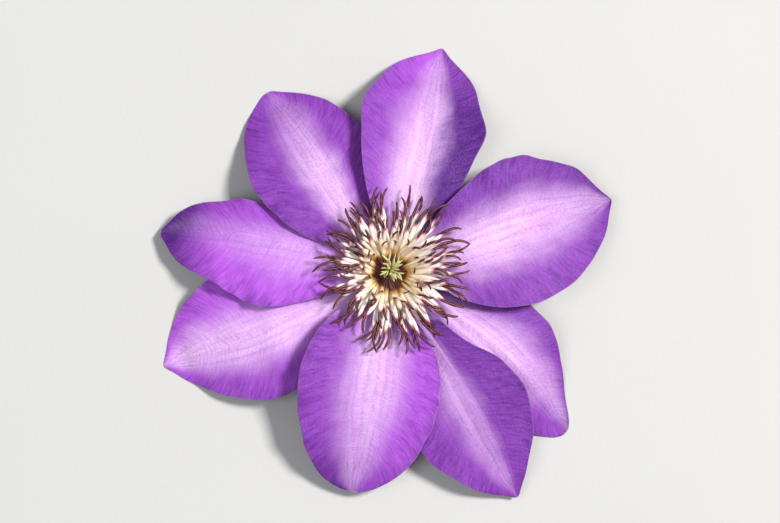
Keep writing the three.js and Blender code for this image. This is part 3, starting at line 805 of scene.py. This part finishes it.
def pistil_material():
    """Green at the dome, turning to straw towards the tips of the styles."""
    g = Graph("pistil")
    t, _, tint = g.parts("grow")
    grain = g.object_noise(2200.0, 3.0)
    green = g.mix(grain, (0.20, 0.24, 0.05), (0.34, 0.34, 0.10))
    straw = g.mix(tint, (0.58, 0.55, 0.22), (0.78, 0.76, 0.42))
    g.bump(grain, 0.00012)
    g.set(Base_Color=g.mix(g.step(0.1, 0.7, t), green, straw),
          Roughness=g.step(0.3, 0.7, grain, 0.45, 0.65))
    return g.material


def stalk_material():
    """Green with dull purple patches."""
    g = Graph("stalk")
    cloud = g.object_noise(260.0, 3.0)
    grain = g.object_noise(1800.0)
    green = g.mix(grain, (0.12, 0.17, 0.035), (0.22, 0.28, 0.07))
    g.bump(grain, 0.00015)
    g.set(Base_Color=g.mix(g.step(0.5, 0.75, cloud), green, (0.20, 0.08, 0.07)),
          Roughness=g.step(0.3, 0.7, grain, 0.45, 0.62))
    return g.material


def floor_material():
    g = Graph("floor")
    cloud = g.object_noise(9.0)
    grain = g.object_noise(700.0)
    g.bump(grain, 0.00005)
    g.set(Base_Color=g.mix(cloud, (0.60, 0.60, 0.59), (0.64, 0.64, 0.63)),
          Roughness=g.step(0.3, 0.7, grain, 0.8, 0.9))
    return g.material


# ---------------- sepals

def half_width(widths, q, pointed, seed):
    """Half width of one side of a blade, with an uneven margin and a drawn-out tip."""
    claw = [part * widths[0] for part in CLAW_WIDENING]
    width = interpolate(STATIONS, [CLAW_HALF_WIDTH, *claw, *widths], q)
    rounding = np.maximum(q - TIP_START, 0) / (1 - TIP_START)
    waves = ripples(q, 0 * q, seed, UNEVEN_LENGTH, count=4)
    uneven = UNEVEN_SHARE * smoothstep(0.3, 0.5, q) * waves
    drawn_out = 1 - pointed * smoothstep(DRAWN_OUT_START, 1.0, q)
    return width * (1 + uneven) * drawn_out * np.sqrt(np.maximum(1 - rounding ** 2, 0))


def settle(height):
    """Height that an underside takes where it comes down to the surface and bends onto it."""
    bent = (height + SETTLE_BEND) ** 2 / (4 * SETTLE_BEND)
    return np.where(height >= SETTLE_BEND, height, np.where(height <= -SETTLE_BEND, 0, bent))


def blade_relief(sepal, index, q, along, across, v):
    """Fine relief of one blade: crinkled margins and soft puckers."""
    away = np.abs(v)
    crinkle = np.where(v > 0, *sepal["crinkle"])
    apart = np.where(v > 0, MARGINS_APART, 0.0)
    waves = ripples(along, apart, CRINKLE_SEED + index, CRINKLE_LENGTH, count=5)
    pucker = ripples(along, across, PUCKER_SEED + index, PUCKER_LENGTH)
    shown = smoothstep(0.22, 0.45, q) * (1 - smoothstep(0.9, 1.0, q))
    return shown * (crinkle * away ** 5 * waves + PUCKER_HEIGHT * (1 - away ** 4) * pucker)


def blade_underside(sepal, index, q, v):
    """Underside of a blade: q runs from claw to tip, v from right (-1) to left (1)."""
    length = sepal["length"]
    along = CLAW_RADIUS + q * (length - CLAW_RADIUS)
    turn = math.tan(math.radians(sepal["claw"] - sepal["direction"]))
    shift = along * turn * np.maximum(1 - q / CREST, 0) ** 2
    midrib = shift + sepal["bow"] * np.sin(math.pi * q)
    left = half_width(sepal["left"], q, sepal["pointed"], LEFT_SEED + index)
    right = half_width(sepal["right"], q, sepal["pointed"], RIGHT_SEED + index)
    margin = np.where(v > 0, shift + left, shift - right)
    across = midrib + np.abs(v) * (margin - midrib)

    to_crest = np.minimum(q / CREST, 1)
    past_crest = np.maximum(q - CREST, 0) / (1 - CREST)
    fall = CLAW_HEIGHT + sepal["rise"] - sepal["tip"]
    arch = sepal["rise"] * (1 - (1 - to_crest) ** 2) - fall * past_crest ** DROOP_POWER

    wave_size, wave_count, wave_phase = sepal["wave"]
    phase = np.where(v > 0, wave_phase, wave_phase + MARGIN_PHASE)
    wave = wave_size * np.abs(v) ** 3 * np.sin(2 * math.pi * wave_count * q + phase)
    lift = np.where(v > 0, sepal["lift_left"], sepal["lift_right"]) * np.abs(v) ** LIFT_POWER
    curl = np.where(v > 0, *sepal["curl"]) * np.abs(v) ** 2
    curl = curl * smoothstep(CURL_START, CURL_FULL, q)
    pleat = PLEAT_HEIGHT * np.cos(2 * math.pi * v / PLEAT_PITCH) * np.exp(-(v / PLEAT_SPREAD) ** 2)
    layered = smoothstep(0, LAYER_START, q) * (1 - q ** 3)
    waved = smoothstep(0.2, 0.5, q)
    height = CLAW_HEIGHT + arch + layered * (sepal["level"] + lift + curl + pleat) + waved * wave
    height = height + blade_relief(sepal, index, q, along, across, v)

    angle = math.radians(sepal["direction"])
    x = AXIS[0] + along * math.cos(angle) - across * math.sin(angle)
    y = AXIS[1] + along * math.sin(angle) + across * math.cos(angle)
    return np.stack([x, y, settle(height - SOLID_THICKNESS / 2)], axis=-1), across


def vein_numbers(sepal, q, v, across):
    """Number that is the same all along a side vein. The veins fan out from the midrib."""
    half_length = sepal["length"] / 2
    half_across = (max(sepal["left"]) + max(sepal["right"])) / 2
    focus = math.sqrt(half_length ** 2 - half_across ** 2)
    fan = np.abs(np.arccosh((half_length * (2 * q - 1) + 1j * across) / focus).imag)
    return sepal["length"] * (1 - fan / math.pi) - VEIN_SWEEP * np.sin(fan) * np.abs(v)


def blade_markings(sepal, index, q, v, across):
    """Attributes that the sepal's material reads, for the upper side and then for the underside.

    blade: place along, place across, and 1 above or -1 below.
    vein: number of the side vein, millimetres across, and place from the middle of the pale bar.
    tone: half width and strength of the pale bar, and how light the violet is, which is partly its
    own tone and partly painted light and shade.
    """
    sides = [np.stack([q, v, np.full(len(q), float(side))], axis=1) for side in (1, -1)]

    onward = np.clip((q - BAR_START) / (BAR_END - BAR_START), 0, 1)
    from_middle = v - blend(sepal["bar_centre"], onward ** 2)
    number = vein_numbers(sepal, q, v, across) + VEIN_NUMBERS * index
    vein = np.stack([number, across, from_middle], axis=1)

    fade = 1 - BAR_FADE * smoothstep(BAR_FADE_START, 1, q)
    strength = blend(sepal["pale"], smoothstep(0.4, 1, q)) * fade
    # Painted light and shade mixed with the sepal's own tone: one half lighter or darker as if lit
    # from one side, and tips lighter or darker.
    left, right, tip = sepal["violet_with_painted_light"]
    violet_with_painted_light = blend((right, left), smoothstep(-0.5, 0.5, v)) + tip * smoothstep(0.7, 1, q)
    violet_with_painted_light = np.clip(violet_with_painted_light, 0, 1) * (1 - MARGIN_SHADE * v ** 4)
    tone = np.stack([blend(sepal["bar"], onward), strength, violet_with_painted_light], axis=1)
    return {"blade": np.vstack(sides), "vein": np.vstack([vein, vein]),
            "tone": np.vstack([tone, tone])}


def blade_grid():
    """Places along and across a blade, row by row from the claw, and then its tip.

    Rows close up towards the tip, where the blade rounds off.
    """
    steady = np.linspace(0, TIP_START, ROWS - TIP_ROWS, endpoint=False)
    turns = np.linspace(0, math.pi / 2, TIP_ROWS, endpoint=False)
    rounded = TIP_START + (1 - TIP_START) * np.sin(turns)
    rows = np.concatenate([steady, rounded])
    q, v = np.meshgrid(rows, np.linspace(-1, 1, COLUMNS), indexing="ij")
    return np.append(q.ravel(), 1.0), np.append(v.ravel(), 0.0)


def blade_faces():
    """Faces of a blade whose points are those of the upper side and then those of the underside."""
    count = ROWS * COLUMNS + 1
    tip = count - 1
    last = (ROWS - 1) * COLUMNS
    faces = grid_faces(ROWS, COLUMNS) + grid_faces(ROWS, COLUMNS, count, turned=True)
    for column in range(COLUMNS - 1):
        faces.append((last + column, tip, last + column + 1))
        faces.append((count + last + column, count + last + column + 1, count + tip))
        faces.append((column, column + 1, count + column + 1, count + column))
    for row in range(ROWS - 1):
        for column, turned in ((0, False), (COLUMNS - 1, True)):
            a = row * COLUMNS + column
            b = a + COLUMNS
            wall = (a, count + a, count + b, b)
            faces.append(wall[::-1] if turned else wall)
    for column, turned in ((0, False), (COLUMNS - 1, True)):
        wall = (last + column, count + last + column, count + tip, tip)
        faces.append(wall[::-1] if turned else wall)
    return faces


def add_blade(index, sepal, material):
    """Blade on the underside of its solid, thinner than that and thinnest at the margin."""
    q, v = blade_grid()
    bottom, across = blade_underside(sepal, index, q, v)
    thinning = smoothstep(MARGIN_START, 1.0, np.maximum(np.abs(v), smoothstep(0.7, 1, q)))
    top = bottom.copy()
    top[:, 2] += blend((BLADE_THICKNESS, MARGIN_THICKNESS), thinning)
    mesh_piece(f"blade_{index + 1}", np.vstack([top, bottom]), blade_faces(),
               blade_markings(sepal, index, q, v, across), material, f"sepal_{index + 1}")


# ---------------- stamens

def stamen_kinds():
    """Rank of every stamen, and whether it is a slender one."""
    kinds = [(((index + 0.5) / STAMEN_COUNT) ** CROWDING, False) for index in range(STAMEN_COUNT)]
    for count, first, last in (SLENDER_INNER, SLENDER_OUTER):
        kinds += [(rank, True) for rank in np.linspace(first, last, count)]
    return kinds


def stamen_line(index, rank, slender):
    """Centre line of a stamen, as the solids have it: filament points, then anther points."""
    stretch = SLENDER_REACH if slender else 1
    shrink = blend(SLENDER_ANTHER, rank) if slender else 1
    splay = SLENDER_SPLAY if slender else 0
    turn = index * GOLDEN_ANGLE + vary(TURN_SPREAD, index, TURN_DRAW)
    bend = vary(BEND_SPREAD, index, BEND_DRAW)
    outline = 1 + LEAN * math.cos(turn - LEAN_DIRECTION) - OVAL * math.cos(2 * turn)
    reach = (1 + vary(REACH_SPREAD, index, REACH_DRAW)) * outline * stretch
    root_distance = blend(ROOT_DISTANCE, rank)
    root_height = CLAW_HEIGHT + blend(ROOT_HEIGHT, rank)
    neck_distance = blend(NECK_DISTANCE, rank) * reach
    neck_height = (CLAW_HEIGHT + blend(NECK_HEIGHT, rank)
                   + vary(HEIGHT_SPREAD, index, HEIGHT_DRAW))
    anther_length = (blend(ANTHER_LENGTH, rank ** 2)
                     * (1 + vary(LENGTH_SPREAD, index, LENGTH_DRAW)) * shrink)
    hook = vary(HOOK_SPREAD, index, HOOK_DRAW) * anther_length / neck_distance
    outward = min(blend(ANTHER_OUTWARD, float(smoothstep(0, FLAT_RANK, rank))) + splay, 1)
    upward = UPWARD_SHARE * math.sqrt(1 - outward * outward)

    # Inner filaments run outwards and then turn up, outer ones rise and then lean out.
    filament = []
    for t in FILAMENT_STATIONS:
        out = blend((1 - (1 - t) ** 1.6, t ** 1.25), rank)
        lift = blend((t ** 1.4, 1 - (1 - t) ** 1.6), rank)
        filament.append(around(root_distance + (neck_distance - root_distance) * out,
                               root_height + (neck_height - root_height) * lift,
                               turn + bend * t * t))
    anther_height = filament[-1][2]
    arch = blend(ANTHER_ARCH, rank)
    anther = [around(neck_distance + anther_length * outward * t,
                     anther_height + anther_length * (upward * t + arch * math.sin(math.pi * t)),
                     turn + bend + hook * t * t) for t in ANTHER_STATIONS]
    return filament, anther, turn


def add_filament(build, centre_line, sideways, girth, tint):
    """Flat strap with a shallow channel, widest past its middle."""
    line, t = smooth_line(centre_line, FILAMENT_RINGS)
    widths = girth * interpolate(FILAMENT_PLACES, FILAMENT_WIDTHS, t)
    rings = [ring(width, FILAMENT_THICKNESS, FILAMENT_SIDES, channel=FILAMENT_CHANNEL)
             for width in widths]
    points, faces = sweep(line, sideways, rings)
    from_well = np.hypot(points[:, 0] - WELL[0], points[:, 1] - WELL[1])
    places = np.append(np.repeat(t, FILAMENT_SIDES), [0, 1])
    across = np.append(np.tile(np.cos(circle(FILAMENT_SIDES)), FILAMENT_RINGS), [0, 0])
    grow = np.stack([places, from_well, np.full(len(points), tint)], axis=1)
    build.add(points, faces, grow=grow, strap=np.outer(across, (1, 0, 0)))


def add_anther(build, centre_line, sideways, girth, tint):
    """Slim blunt rod with a groove along both faces."""
    line, t = smooth_line(centre_line, ANTHER_RINGS)
    blunt = np.sqrt(np.clip(1 - np.abs(2 * t - 1) ** 5, 0.03, 1))
    widths = ANTHER_WIDTH * girth * blunt * (1 - ANTHER_TAPER * t)
    rings = [ring(width, ANTHER_FLATNESS * width, ANTHER_SIDES, groove=ANTHER_GROOVE)
             for width in widths]
    points, faces = sweep(line, sideways, rings)
    grow = [(place, across, tint) for place in t for across in np.cos(circle(ANTHER_SIDES))]
    build.add(points, faces, grow=[*grow, (0, 0, tint), (1, 0, tint)])


def add_stamens(filament_look, anther_look):
    filaments = Build("grow", "strap")
    anthers = Build("grow")
    for index, (rank, slender) in enumerate(stamen_kinds()):
        filament, anther, turn = stamen_line(index, rank, slender)
        sideways = sideways_at(turn)
        girth = SLENDER_GIRTH if slender else 1
        tint = draw(index, STAMEN_TINT_DRAW)
        add_filament(filaments, [*filament, anther[0]], sideways, girth, tint)
        add_anther(anthers, [filament[-1], *anther], sideways, girth, tint)
    filaments.make_piece("filaments", filament_look, "stamens")
    anthers.make_piece("anthers", anther_look, "stamens")


def add_collar(material):
    """Collar that the filaments grow from. The heights in its outline are above its seat."""
    outline = [(COLLAR_INNER_RADIUS, 0), (BOSS_RADIUS - 0.2, 0), (COLLAR_RADIUS - 0.4, 0.6),
               (COLLAR_RADIUS, 1), (COLLAR_RADIUS - 0.1, 1.5), (COLLAR_RADIUS - 0.3, 1.9),
               (COLLAR_INNER_RADIUS + 0.9, 2.8), (COLLAR_INNER_RADIUS + 0.3, COLLAR_HEIGHT),
               (COLLAR_INNER_RADIUS, COLLAR_HEIGHT - 0.4), (COLLAR_INNER_RADIUS, 0)]
    profile = [(radius, SEAT_HEIGHT + height) for radius, height in outline]
    points, faces = lathe(profile, TURNED_SIDES)
    mesh_piece("collar", points, faces, {}, material, "stamens")


# ---------------- styles and stalk

def style_line(index, rank, turn):
    """Centre line of a style, which leans out more the further it stands from the middle."""
    top = SEAT_HEIGHT + DOME_HEIGHT
    lower = STYLE_HEIGHT_SPREAD * rank * draw(index, STYLE_HEIGHT_DRAW)
    end = top + STYLE_HEIGHT * (1 - lower)
    root = top - blend(STYLE_ROOT_DEPTH, rank)
    curl = blend(STYLE_CURL, rank) * (1 + vary(STYLE_CURL_SPREAD, index, STYLE_CURL_DRAW))
    twist = vary(STYLE_TURN_SPREAD, index, STYLE_TURN_DRAW)
    return [around(blend(STYLE_ROOT_DISTANCE, rank) + curl * t ** 3,
                   root + (end - root) * (t - STYLE_NOD * rank * t ** 4),
                   turn + twist * t ** 2) for t in STYLE_STATIONS]


def add_dome(build):
    outline = [(DOME_RADIUS * part, SEAT_HEIGHT + DOME_HEIGHT * rise) for part, rise in DOME_OUTLINE]
    profile = [(CLOSED, SEAT_HEIGHT), *outline, (CLOSED, SEAT_HEIGHT + DOME_HEIGHT)]
    points, faces = lathe(profile, DOME_SIDES)
    build.add(points, faces, grow=[(0, 0, 0)] * len(points))


def add_style(build, index):
    """Thin round rod. The slender ones, after the others, stand among the inner ones."""
    rank = math.sqrt((index % STYLE_COUNT + 0.5) / STYLE_COUNT)
    turn = index * GOLDEN_ANGLE
    line, t = smooth_line(style_line(index, rank, turn), STYLE_RINGS)
    girth = 1 if index < STYLE_COUNT else SLENDER_STYLE_GIRTH
    widths = girth * interpolate(STYLE_PLACES, STYLE_WIDTHS, t)
    rings = [ring(width, width, STYLE_SIDES) for width in widths]
    points, faces = sweep(line, sideways_at(turn), rings)
    tint = draw(index, STYLE_TINT_DRAW)
    grow = [(place, 0, tint) for place in t for _ in range(STYLE_SIDES)]
    build.add(points, faces, grow=[*grow, (0, 0, tint), (1, 0, tint)])


def add_pistils(material):
    build = Build("grow")
    add_dome(build)
    for index in range(STYLE_COUNT + SLENDER_STYLES):
        add_style(build, index)
    build.make_piece("styles", material, "pistils")


def add_receptacle(build):
    """Turned form that widens from the stalk to a ledge for the claws and a seat for the boss."""
    profile = [(CLOSED, 5), (STALK_RADIUS, 5.6), (STALK_RADIUS + 0.5, 6.8), (3.1, 7.3),
               (RECEPTACLE_RADIUS - 0.6, LEDGE_HEIGHT - 0.7),
               (RECEPTACLE_RADIUS - 0.1, LEDGE_HEIGHT - 0.25), (RECEPTACLE_RADIUS, LEDGE_HEIGHT),
               (BOSS_RADIUS, LEDGE_HEIGHT), (BOSS_RADIUS, SEAT_HEIGHT), (CLOSED, SEAT_HEIGHT)]
    build.add(*lathe(profile, TURNED_SIDES))


def add_stalk(material):
    """Receptacle, and the ribbed stalk that bends down from it to lie on the surface."""
    build = Build()
    add_receptacle(build)
    line = [around(distance, height, STALK_DIRECTION) for distance, height in STALK_LINE]
    line, _ = smooth_line(line, STALK_RINGS)
    angles = circle(STALK_SIDES)
    ribbed = STALK_RADIUS * (1 - RIB_SHARE + RIB_SHARE * np.cos(STALK_RIBS * angles))
    section = np.stack([ribbed * np.cos(angles), ribbed * np.sin(angles)], axis=1)
    points, faces = sweep(line, sideways_at(STALK_DIRECTION), [section] * STALK_RINGS)
    points[:, 2] = np.maximum(points[:, 2], 0)
    build.add(points, faces)
    build.make_piece("stem", material, "stalk")


# ---------------- stage, light and camera

def add_stage():
    mesh = bpy.data.meshes.new("floor")
    reach = FLOOR_REACH
    corners = [(-reach, -reach, 0), (reach, -reach, 0), (reach, reach, 0), (-reach, reach, 0)]
    mesh.from_pydata(corners, [], [(0, 1, 2, 3)])
    mesh.materials.append(floor_material())
    floor = bpy.data.objects.new("floor", mesh)
    floor.location.z = -FLOOR_DROP
    bpy.context.scene.collection.objects.link(floor)


def add_light(name, toward, distance, size, energy, colour):
    """Square soft light. toward: its direction from the flower. Distance and size are in metres."""
    lamp = bpy.data.lights.new(name, "AREA")
    lamp.size = size
    lamp.energy = energy
    lamp.color = colour
    light = bpy.data.objects.new(name, lamp)
    direction = Vector(toward).normalized()
    light.location = direction * distance
    light.rotation_euler = direction.to_track_quat("Z", "Y").to_euler()
    bpy.context.scene.collection.objects.link(light)


def add_world(colour, strength):
    world = bpy.data.worlds.new("world")
    world.use_nodes = True
    background = world.node_tree.nodes["Background"]
    background.inputs["Color"].default_value = (*colour, 1)
    background.inputs["Strength"].default_value = strength
    bpy.context.scene.world = world


def add_camera():
    """Camera that leans towards the lower left, with +Y up the image."""
    back = Vector((math.sin(CAMERA_LEAN) * math.cos(CAMERA_SIDE),
                   math.sin(CAMERA_LEAN) * math.sin(CAMERA_SIDE), math.cos(CAMERA_LEAN)))
    up = Vector((0, 1, 0))
    up = (up - back * up.dot(back)).normalized()
    right = up.cross(back)
    heart = Vector((AXIS[0], AXIS[1], CLAW_HEIGHT + 1))
    target = heart + right * AIM_RIGHT + up * AIM_UP
    place = (target + back * CAMERA_DISTANCE) * MM
    data = bpy.data.cameras.new("camera")
    data.lens = LENS
    data.sensor_width = SENSOR_WIDTH
    data.clip_start = CLIP_START
    camera = bpy.data.objects.new("camera", data)
    turn = Matrix((right, up, back)).transposed()
    camera.matrix_world = Matrix.Translation(place) @ turn.to_4x4()
    bpy.context.scene.collection.objects.link(camera)
    bpy.context.scene.camera = camera


sepal_look = sepal_material()
for number, entry in enumerate(SEPALS):
    add_blade(number, entry, sepal_look)
add_stamens(filament_material(), anther_material())
add_collar(collar_material())
add_pistils(pistil_material())
add_stalk(stalk_material())
add_stage()
add_light("key", toward=(0.72, 0.3, 1.0), distance=2.4, size=0.6, energy=68.0,
          colour=(1.0, 0.98, 0.95))
add_light("fill", toward=(-0.8, -0.3, 1.0), distance=1.6, size=0.9, energy=9.0,
          colour=(0.95, 0.97, 1.0))
add_world(colour=(0.95, 0.97, 1.0), strength=0.2)
add_camera()
bpy.context.scene.view_settings.view_transform = "Standard"
